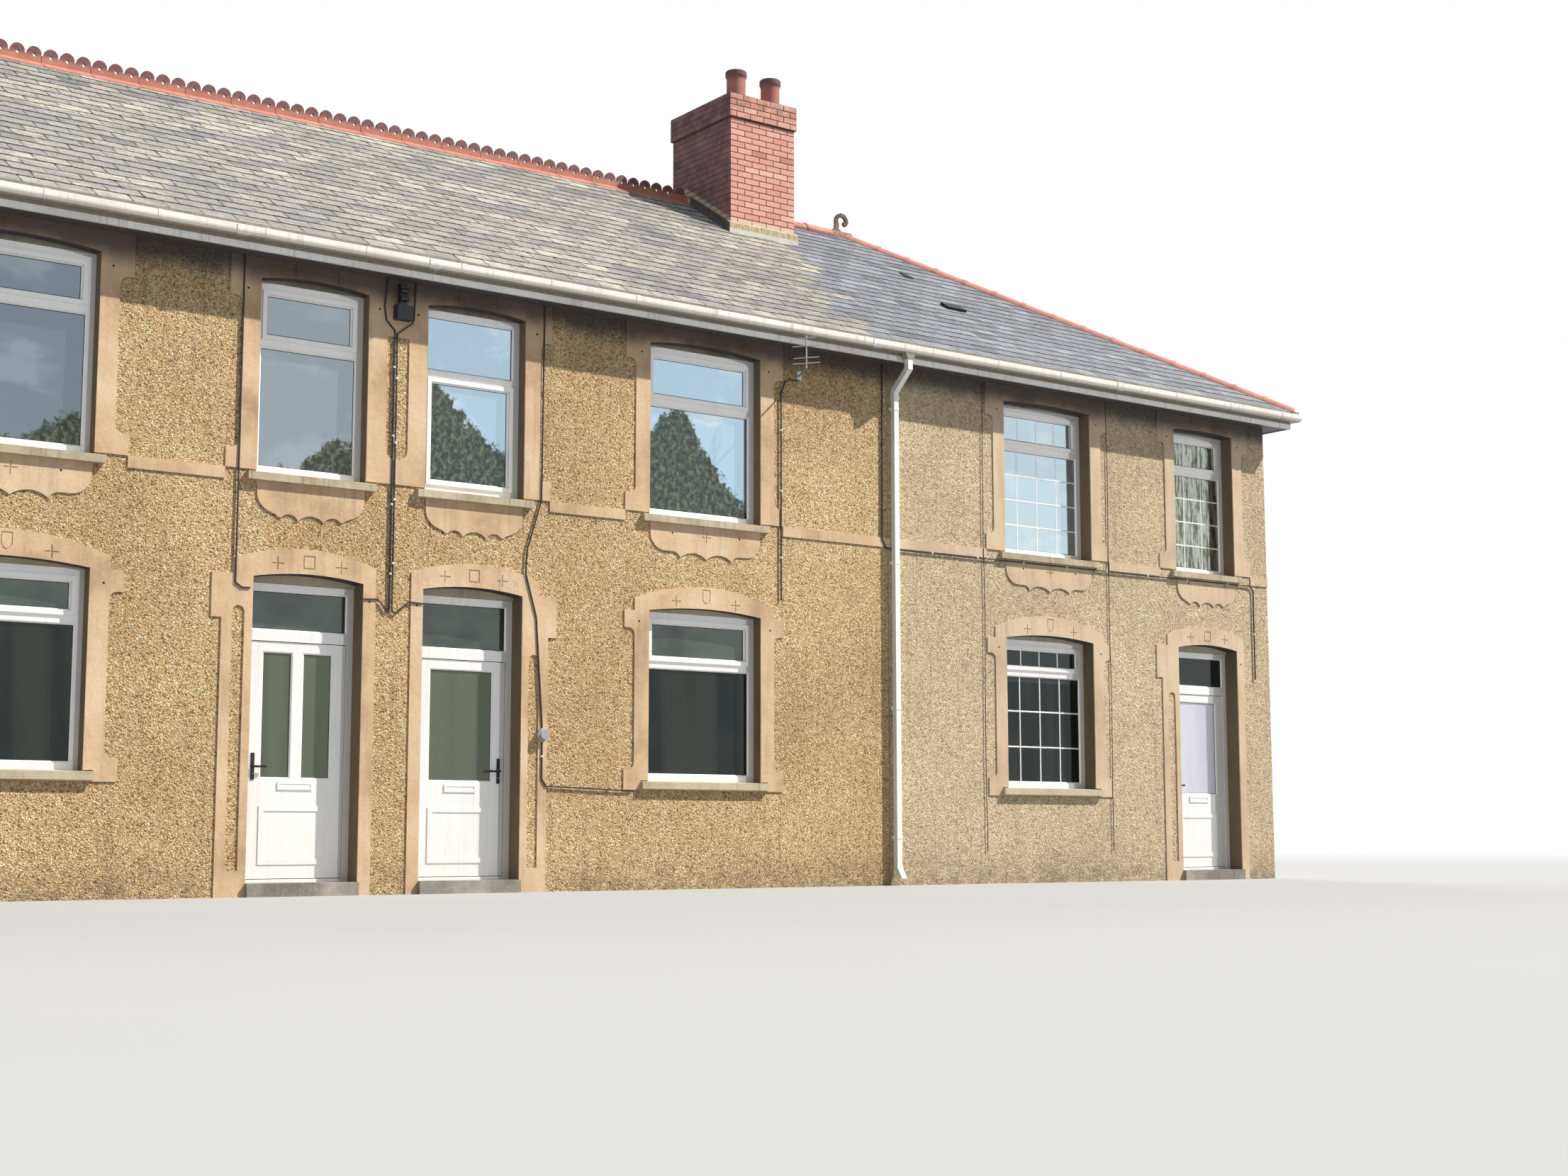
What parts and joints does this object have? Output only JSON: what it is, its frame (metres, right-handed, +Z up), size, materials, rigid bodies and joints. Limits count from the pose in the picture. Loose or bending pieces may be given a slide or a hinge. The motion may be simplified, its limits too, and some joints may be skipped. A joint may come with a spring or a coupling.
{
  "type": "terraced house row",
  "caption": "Terrace of two-storey houses with roughcast walls, smooth render surrounds, a hipped slate roof, brick chimneys and opening front doors.",
  "frame": {"origin": "on the ground, at the middle of the row and under the ridge", "axes": "+X along the row to the right as seen from the street, -Y out of the front wall, +Z up"},
  "size_m": [25.224, 8.5674, 10.07],
  "materials": {
    "roughcast": "rough",
    "masonry": "rough",
    "render": "matte",
    "concrete": "matte",
    "slate": "satin",
    "timber": "matte",
    "terracotta": "matte",
    "brick": "rough",
    "mortar": "rough",
    "gutter_plastic": "satin",
    "white_plastic": "gloss",
    "glass": "gloss",
    "handle_metal": "satin",
    "black_plastic": "matte",
    "grey_plastic": "satin",
    "aerial_metal": "satin"
  },
  "bodies": {
    "building": {"front_wall_left": "roughcast", "front_wall_right": "roughcast", "front_piers": "roughcast", "front_over_doors": "roughcast", "rear_wall": "roughcast", "end_walls": "roughcast", "party_walls": "masonry", "ground_floor": "concrete", "first_floor": "timber", "door_steps": "concrete", "roof_front": "slate", "roof_rear": "slate", "roof_hips": "slate", "crest_tiles": "terracotta", "plain_ridge_tiles": "terracotta", "finials": "terracotta", "chimney_stacks": "brick", "chimney_pots": "terracotta", "chimney_fillets": "mortar", "eaves_front": "white_plastic", "eaves_rear": "white_plastic", "eaves_ends": "white_plastic", "gutter_front": "gutter_plastic", "gutter_rear": "gutter_plastic", "gutter_ends": "gutter_plastic", "downpipes": "gutter_plastic", "sills": "concrete", "upper_bands": "render", "lower_bands": "render", "arch_infills": "render", "window_frames_upper": "white_plastic", "window_frames_lower": "white_plastic", "glass_upper": "glass", "glass_lower": "glass", "door_1_frame": "white_plastic", "door_2_frame": "white_plastic", "door_3_frame": "white_plastic", "door_4_frame": "white_plastic", "fixed_doors": "white_plastic", "service_head": "black_plastic", "wall_cables": "black_plastic", "tv_aerial": "aerial_metal", "wall_box": "grey_plastic", "roof_vents": "black_plastic"},
    "door_2": {"door_2_leaf": "white_plastic", "door_2_glass": "glass", "door_2_handle": "handle_metal"},
    "door_3": {"door_3_leaf": "white_plastic", "door_3_glass": "glass", "door_3_plates": "handle_metal"},
    "door_3_lever": {"door_3_lever": "handle_metal"},
    "door_4": {"door_4_leaf": "white_plastic", "door_4_glass": "glass", "door_4_handle": "handle_metal"}
  },
  "joints": [
    {"name": "door_2_hinge", "type": "hinge", "parent": "building", "child": "door_2", "pos_m": [-0.372, -3.57, 1.17], "axis": [0, 0, -1], "range_deg": [0, 95]},
    {"name": "door_3_hinge", "type": "hinge", "parent": "building", "child": "door_3", "pos_m": [0.372, -3.57, 1.17], "axis": [0, 0, 1], "range_deg": [0, 95]},
    {"name": "door_3_lever_turn", "type": "hinge", "parent": "door_3", "child": "door_3_lever", "pos_m": [1.244, -3.61, 1.15], "axis": [0, -1, 0], "range_deg": [0, 40], "stiffness_Nm_per_rad": 2, "springref_deg": -28.65},
    {"name": "door_4_hinge", "type": "hinge", "parent": "building", "child": "door_4", "pos_m": [11.568, -3.57, 1.17], "axis": [0, 0, -1], "range_deg": [0, 95]}
  ]
}
